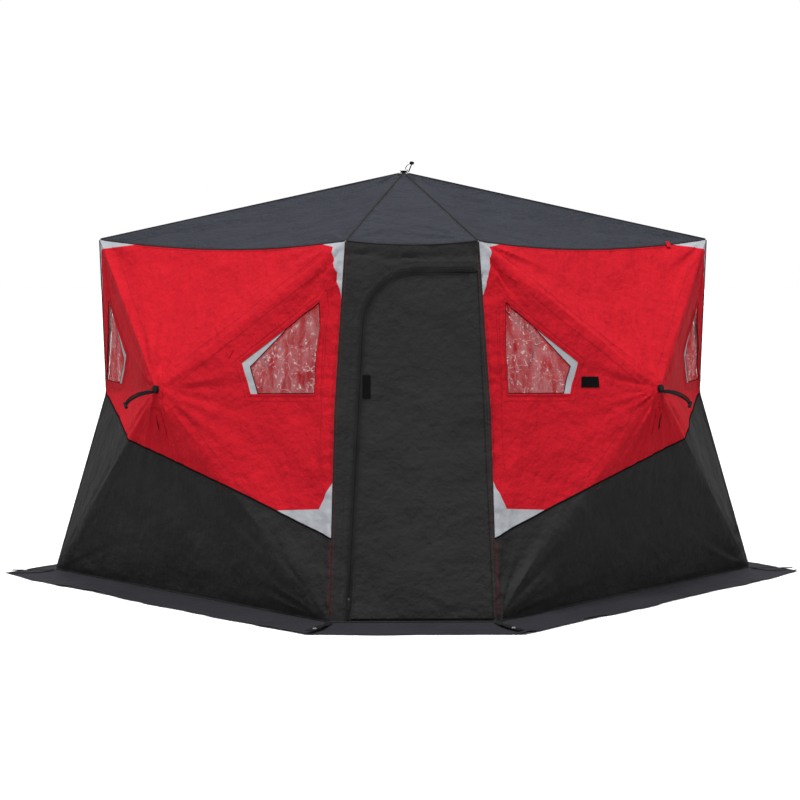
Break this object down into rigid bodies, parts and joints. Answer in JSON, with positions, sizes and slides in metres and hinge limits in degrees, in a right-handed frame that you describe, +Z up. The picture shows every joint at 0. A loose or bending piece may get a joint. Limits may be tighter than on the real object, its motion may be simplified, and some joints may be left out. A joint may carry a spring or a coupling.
{
  "type": "ice fishing shelter",
  "caption": "Pop-up ice fishing shelter: a six-sided fabric cabin stretched over hubs and poles, with windows, a zipped door at each end and a ground skirt.",
  "frame": {"origin": "centre of the base, on the ground", "axes": "+Z up, the front door faces -Y, +X to the right seen from the front"},
  "size_m": [4.016, 3.8934, 2.087],
  "materials": {
    "red_fabric": "woven, slight sheen",
    "black_fabric": "woven, matt",
    "roof_fabric": "woven, slight sheen",
    "window_film": "clear film",
    "hub_plastic": "moulded",
    "fibreglass": "satin",
    "webbing": "ribbed webbing",
    "zip_metal": "cast, satin"
  },
  "bodies": {
    "shell": {"back_door_surround": "black_fabric", "back_left_wall": "red_fabric", "back_left_window_corner_side": "window_film", "back_left_window_door_side": "window_film", "back_right_wall": "red_fabric", "back_right_window_corner_side": "window_film", "back_right_window_door_side": "window_film", "corner_pocket_back_left": "webbing", "corner_pocket_back_right": "webbing", "corner_pocket_front_left": "webbing", "corner_pocket_front_right": "webbing", "corner_pocket_left": "webbing", "corner_pocket_right": "webbing", "front_door_surround": "black_fabric", "front_left_wall": "red_fabric", "front_left_window_corner_side": "window_film", "front_left_window_door_side": "window_film", "front_right_wall": "red_fabric", "front_right_window_corner_side": "window_film", "front_right_window_door_side": "window_film", "roof_canopy": "roof_fabric", "skirt": "black_fabric"},
    "front_left_hub": {"front_left_hub": "hub_plastic"},
    "front_left_pole_upper_side": {"front_left_pole_upper_side": "fibreglass"},
    "front_left_pole_upper_door": {"front_left_pole_upper_door": "fibreglass"},
    "front_left_pole_lower_side": {"front_left_pole_lower_side": "fibreglass"},
    "front_left_pole_lower_door": {"front_left_pole_lower_door": "fibreglass"},
    "front_left_pull_strap": {"front_left_pull_strap": "webbing"},
    "front_right_hub": {"front_right_hub": "hub_plastic"},
    "front_right_pole_upper_side": {"front_right_pole_upper_side": "fibreglass"},
    "front_right_pole_upper_door": {"front_right_pole_upper_door": "fibreglass"},
    "front_right_pole_lower_side": {"front_right_pole_lower_side": "fibreglass"},
    "front_right_pole_lower_door": {"front_right_pole_lower_door": "fibreglass"},
    "front_right_pull_strap": {"front_right_pull_strap": "webbing"},
    "back_left_hub": {"back_left_hub": "hub_plastic"},
    "back_left_pole_upper_side": {"back_left_pole_upper_side": "fibreglass"},
    "back_left_pole_upper_door": {"back_left_pole_upper_door": "fibreglass"},
    "back_left_pole_lower_side": {"back_left_pole_lower_side": "fibreglass"},
    "back_left_pole_lower_door": {"back_left_pole_lower_door": "fibreglass"},
    "back_left_pull_strap": {"back_left_pull_strap": "webbing"},
    "back_right_hub": {"back_right_hub": "hub_plastic"},
    "back_right_pole_upper_side": {"back_right_pole_upper_side": "fibreglass"},
    "back_right_pole_upper_door": {"back_right_pole_upper_door": "fibreglass"},
    "back_right_pole_lower_side": {"back_right_pole_lower_side": "fibreglass"},
    "back_right_pole_lower_door": {"back_right_pole_lower_door": "fibreglass"},
    "back_right_pull_strap": {"back_right_pull_strap": "webbing"},
    "roof_hub": {"roof_hub": "hub_plastic"},
    "roof_pole_left": {"roof_pole_left": "fibreglass"},
    "roof_pole_right": {"roof_pole_right": "fibreglass"},
    "roof_pole_front_left": {"roof_pole_front_left": "fibreglass"},
    "roof_pole_front_right": {"roof_pole_front_right": "fibreglass"},
    "roof_pole_back_left": {"roof_pole_back_left": "fibreglass"},
    "roof_pole_back_right": {"roof_pole_back_right": "fibreglass"},
    "roof_pull_strap": {"roof_pull_strap": "webbing"},
    "front_door_flap": {"front_door_flap": "black_fabric"},
    "front_zipper_slider": {"front_zipper_slider": "zip_metal"},
    "back_door_flap": {"back_door_flap": "black_fabric"},
    "back_zipper_slider": {"back_zipper_slider": "zip_metal"}
  },
  "joints": [
    {"name": "front_left_hub_push", "type": "slide", "parent": "shell", "child": "front_left_hub", "axis": [0.7694, 0.6285, -0.114], "range_m": [0, 0.478], "deforming": ["front_left_wall", "front_left_window_door_side", "front_left_window_corner_side"]},
    {"name": "front_left_pole_upper_side_fold", "type": "hinge", "parent": "front_left_hub", "child": "front_left_pole_upper_side", "pos_m": [-1.16326, -0.91308, 1.0145], "axis": [0.4492, -0.4057, 0.796], "range_deg": [-0.5, 23.88]},
    {"name": "front_left_pole_upper_door_fold", "type": "hinge", "parent": "front_left_hub", "child": "front_left_pole_upper_door", "pos_m": [-1.12672, -0.95784, 1.01438], "axis": [0.3054, -0.5187, -0.7985], "range_deg": [-0.5, 23.69]},
    {"name": "front_left_pole_lower_side_fold", "type": "hinge", "parent": "front_left_hub", "child": "front_left_pole_lower_side", "pos_m": [-1.16638, -0.91732, 0.97006], "axis": [-0.3401, 0.5541, 0.7598], "range_deg": [-0.5, 19.9]},
    {"name": "front_left_pole_lower_door_fold", "type": "hinge", "parent": "front_left_hub", "child": "front_left_pole_lower_door", "pos_m": [-1.13163, -0.95989, 0.96992], "axis": [-0.4773, 0.4471, -0.7565], "range_deg": [-0.5, 20.01]},
    {"name": "front_left_pull_strap_swing", "type": "hinge", "parent": "front_left_hub", "child": "front_left_pull_strap", "pos_m": [-1.18, -0.964, 0.998], "axis": [-0.7694, -0.6285, 0.114], "range_deg": [-120, 120]},
    {"name": "front_right_hub_push", "type": "slide", "parent": "shell", "child": "front_right_hub", "axis": [-0.7694, 0.6285, -0.114], "range_m": [0, 0.478], "deforming": ["front_right_wall", "front_right_window_door_side", "front_right_window_corner_side"]},
    {"name": "front_right_pole_upper_side_fold", "type": "hinge", "parent": "front_right_hub", "child": "front_right_pole_upper_side", "pos_m": [1.16326, -0.91308, 1.0145], "axis": [0.4492, 0.4057, -0.796], "range_deg": [-0.5, 23.88]},
    {"name": "front_right_pole_upper_door_fold", "type": "hinge", "parent": "front_right_hub", "child": "front_right_pole_upper_door", "pos_m": [1.12672, -0.95784, 1.01438], "axis": [0.3054, 0.5187, 0.7985], "range_deg": [-0.5, 23.69]},
    {"name": "front_right_pole_lower_side_fold", "type": "hinge", "parent": "front_right_hub", "child": "front_right_pole_lower_side", "pos_m": [1.16638, -0.91732, 0.97006], "axis": [-0.3401, -0.5541, -0.7598], "range_deg": [-0.5, 19.9]},
    {"name": "front_right_pole_lower_door_fold", "type": "hinge", "parent": "front_right_hub", "child": "front_right_pole_lower_door", "pos_m": [1.13163, -0.95989, 0.96992], "axis": [-0.4773, -0.4471, 0.7565], "range_deg": [-0.5, 20.01]},
    {"name": "front_right_pull_strap_swing", "type": "hinge", "parent": "front_right_hub", "child": "front_right_pull_strap", "pos_m": [1.18, -0.964, 0.998], "axis": [0.7694, -0.6285, 0.114], "range_deg": [-120, 120]},
    {"name": "back_left_hub_push", "type": "slide", "parent": "shell", "child": "back_left_hub", "axis": [0.7694, -0.6285, -0.114], "range_m": [0, 0.478], "deforming": ["back_left_wall", "back_left_window_door_side", "back_left_window_corner_side"]},
    {"name": "back_left_pole_upper_side_fold", "type": "hinge", "parent": "back_left_hub", "child": "back_left_pole_upper_side", "pos_m": [-1.16326, 0.91308, 1.0145], "axis": [-0.4492, -0.4057, -0.796], "range_deg": [-0.5, 23.88]},
    {"name": "back_left_pole_upper_door_fold", "type": "hinge", "parent": "back_left_hub", "child": "back_left_pole_upper_door", "pos_m": [-1.12672, 0.95784, 1.01438], "axis": [-0.3054, -0.5187, 0.7985], "range_deg": [-0.5, 23.69]},
    {"name": "back_left_pole_lower_side_fold", "type": "hinge", "parent": "back_left_hub", "child": "back_left_pole_lower_side", "pos_m": [-1.16638, 0.91732, 0.97006], "axis": [0.3401, 0.5541, -0.7598], "range_deg": [-0.5, 19.9]},
    {"name": "back_left_pole_lower_door_fold", "type": "hinge", "parent": "back_left_hub", "child": "back_left_pole_lower_door", "pos_m": [-1.13163, 0.95989, 0.96992], "axis": [0.4773, 0.4471, 0.7565], "range_deg": [-0.5, 20.01]},
    {"name": "back_left_pull_strap_swing", "type": "hinge", "parent": "back_left_hub", "child": "back_left_pull_strap", "pos_m": [-1.18, 0.964, 0.998], "axis": [-0.7694, 0.6285, 0.114], "range_deg": [-120, 120]},
    {"name": "back_right_hub_push", "type": "slide", "parent": "shell", "child": "back_right_hub", "axis": [-0.7694, -0.6285, -0.114], "range_m": [0, 0.478], "deforming": ["back_right_wall", "back_right_window_door_side", "back_right_window_corner_side"]},
    {"name": "back_right_pole_upper_side_fold", "type": "hinge", "parent": "back_right_hub", "child": "back_right_pole_upper_side", "pos_m": [1.16326, 0.91308, 1.0145], "axis": [-0.4492, 0.4057, 0.796], "range_deg": [-0.5, 23.88]},
    {"name": "back_right_pole_upper_door_fold", "type": "hinge", "parent": "back_right_hub", "child": "back_right_pole_upper_door", "pos_m": [1.12672, 0.95784, 1.01438], "axis": [-0.3054, 0.5187, -0.7985], "range_deg": [-0.5, 23.69]},
    {"name": "back_right_pole_lower_side_fold", "type": "hinge", "parent": "back_right_hub", "child": "back_right_pole_lower_side", "pos_m": [1.16638, 0.91732, 0.97006], "axis": [0.3401, -0.5541, 0.7598], "range_deg": [-0.5, 19.9]},
    {"name": "back_right_pole_lower_door_fold", "type": "hinge", "parent": "back_right_hub", "child": "back_right_pole_lower_door", "pos_m": [1.13163, 0.95989, 0.96992], "axis": [0.4773, -0.4471, -0.7565], "range_deg": [-0.5, 20.01]},
    {"name": "back_right_pull_strap_swing", "type": "hinge", "parent": "back_right_hub", "child": "back_right_pull_strap", "pos_m": [1.18, 0.964, 0.998], "axis": [0.7694, 0.6285, 0.114], "range_deg": [-120, 120]},
    {"name": "roof_hub_push", "type": "slide", "parent": "shell", "child": "roof_hub", "axis": [0, 0, -1], "range_m": [0, 0.623], "deforming": ["roof_canopy"]},
    {"name": "roof_pole_left_fold", "type": "hinge", "parent": "roof_hub", "child": "roof_pole_left", "pos_m": [-0.036, 0, 1.987], "axis": [0, 1, 0], "range_deg": [-0.5, 24.37]},
    {"name": "roof_pole_right_fold", "type": "hinge", "parent": "roof_hub", "child": "roof_pole_right", "pos_m": [0.036, 0, 1.987], "axis": [0, -1, 0], "range_deg": [-0.5, 24.37]},
    {"name": "roof_pole_front_left_fold", "type": "hinge", "parent": "roof_hub", "child": "roof_pole_front_left", "pos_m": [-0.00688, -0.03534, 1.987], "axis": [-0.9816, 0.1911, 0], "range_deg": [-0.5, 24.37]},
    {"name": "roof_pole_front_right_fold", "type": "hinge", "parent": "roof_hub", "child": "roof_pole_front_right", "pos_m": [0.00688, -0.03534, 1.987], "axis": [-0.9816, -0.1911, 0], "range_deg": [-0.5, 24.37]},
    {"name": "roof_pole_back_left_fold", "type": "hinge", "parent": "roof_hub", "child": "roof_pole_back_left", "pos_m": [-0.00688, 0.03534, 1.987], "axis": [0.9816, 0.1911, 0], "range_deg": [-0.5, 24.37]},
    {"name": "roof_pole_back_right_fold", "type": "hinge", "parent": "roof_hub", "child": "roof_pole_back_right", "pos_m": [0.00688, 0.03534, 1.987], "axis": [0.9816, -0.1911, 0], "range_deg": [-0.5, 24.37]},
    {"name": "roof_pull_strap_swing", "type": "hinge", "parent": "roof_hub", "child": "roof_pull_strap", "pos_m": [0, 0, 2.03], "axis": [0, 0, 1], "range_deg": [-150, 150]},
    {"name": "front_door_hinge", "type": "hinge", "parent": "shell", "child": "front_door_flap", "pos_m": [0.355, -1.7346, 0], "axis": [-0.0414, 0.1343, 0.9901], "range_deg": [0, 178]},
    {"name": "front_zipper_slide", "type": "slide", "parent": "shell", "child": "front_zipper_slider", "axis": [0.053, 0.1343, 0.9895], "range_m": [0, 1.15]},
    {"name": "back_door_hinge", "type": "hinge", "parent": "shell", "child": "back_door_flap", "pos_m": [-0.355, 1.7346, 0], "axis": [0.0414, -0.1343, 0.9901], "range_deg": [0, 178]},
    {"name": "back_zipper_slide", "type": "slide", "parent": "shell", "child": "back_zipper_slider", "axis": [-0.053, -0.1343, 0.9895], "range_m": [0, 1.15]}
  ],
  "couplings": [
    {"joint": "front_left_pole_upper_side_fold", "follows": "front_left_hub_push", "rad_per_m": 0.85369},
    {"joint": "front_left_pole_upper_door_fold", "follows": "front_left_hub_push", "rad_per_m": 0.84685},
    {"joint": "front_left_pole_lower_side_fold", "follows": "front_left_hub_push", "rad_per_m": 0.70827},
    {"joint": "front_left_pole_lower_door_fold", "follows": "front_left_hub_push", "rad_per_m": 0.7124},
    {"joint": "front_right_pole_upper_side_fold", "follows": "front_right_hub_push", "rad_per_m": 0.85369},
    {"joint": "front_right_pole_upper_door_fold", "follows": "front_right_hub_push", "rad_per_m": 0.84685},
    {"joint": "front_right_pole_lower_side_fold", "follows": "front_right_hub_push", "rad_per_m": 0.70827},
    {"joint": "front_right_pole_lower_door_fold", "follows": "front_right_hub_push", "rad_per_m": 0.7124},
    {"joint": "back_left_pole_upper_side_fold", "follows": "back_left_hub_push", "rad_per_m": 0.85369},
    {"joint": "back_left_pole_upper_door_fold", "follows": "back_left_hub_push", "rad_per_m": 0.84685},
    {"joint": "back_left_pole_lower_side_fold", "follows": "back_left_hub_push", "rad_per_m": 0.70827},
    {"joint": "back_left_pole_lower_door_fold", "follows": "back_left_hub_push", "rad_per_m": 0.7124},
    {"joint": "back_right_pole_upper_side_fold", "follows": "back_right_hub_push", "rad_per_m": 0.85369},
    {"joint": "back_right_pole_upper_door_fold", "follows": "back_right_hub_push", "rad_per_m": 0.84685},
    {"joint": "back_right_pole_lower_side_fold", "follows": "back_right_hub_push", "rad_per_m": 0.70827},
    {"joint": "back_right_pole_lower_door_fold", "follows": "back_right_hub_push", "rad_per_m": 0.7124},
    {"joint": "roof_pole_left_fold", "follows": "roof_hub_push", "rad_per_m": 0.66876},
    {"joint": "roof_pole_right_fold", "follows": "roof_hub_push", "rad_per_m": 0.66876},
    {"joint": "roof_pole_front_left_fold", "follows": "roof_hub_push", "rad_per_m": 0.66876},
    {"joint": "roof_pole_front_right_fold", "follows": "roof_hub_push", "rad_per_m": 0.66876},
    {"joint": "roof_pole_back_left_fold", "follows": "roof_hub_push", "rad_per_m": 0.66876},
    {"joint": "roof_pole_back_right_fold", "follows": "roof_hub_push", "rad_per_m": 0.66876}
  ]
}
